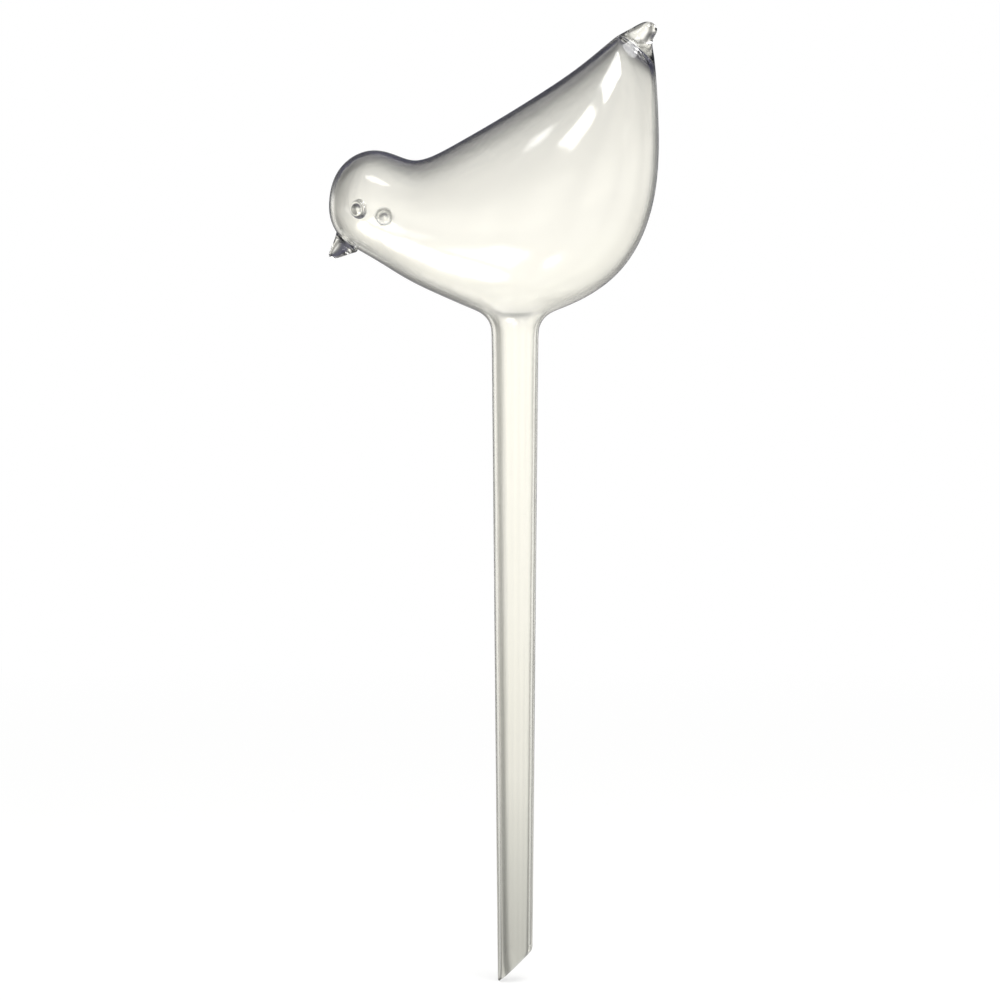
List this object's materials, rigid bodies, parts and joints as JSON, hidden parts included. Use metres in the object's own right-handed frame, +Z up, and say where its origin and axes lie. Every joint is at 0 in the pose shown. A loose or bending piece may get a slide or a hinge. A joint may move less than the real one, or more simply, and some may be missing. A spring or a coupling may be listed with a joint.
{
  "type": "watering globe",
  "caption": "Clear hollow bird on a long tapering feed stem with a slanting open tip, pushed into a pot's soil to let water out slowly.",
  "frame": {"origin": "on the feed stem's axis, level with the stem's pointed tip", "axes": "+Z up along the stem, +X towards the tail, -X the way the beak points, +Y across the bird"},
  "size_m": [0.1031, 0.0532, 0.2885],
  "materials": {
    "clear_plastic": "clear and glossy, with a faint ivory tint and fine flow waves"
  },
  "bodies": {
    "root": {"bird_body": "clear_plastic", "feed_stem": "clear_plastic", "tail_tip": "clear_plastic", "beak": "clear_plastic", "left_eye": "clear_plastic", "right_eye": "clear_plastic"}
  },
  "joints": []
}
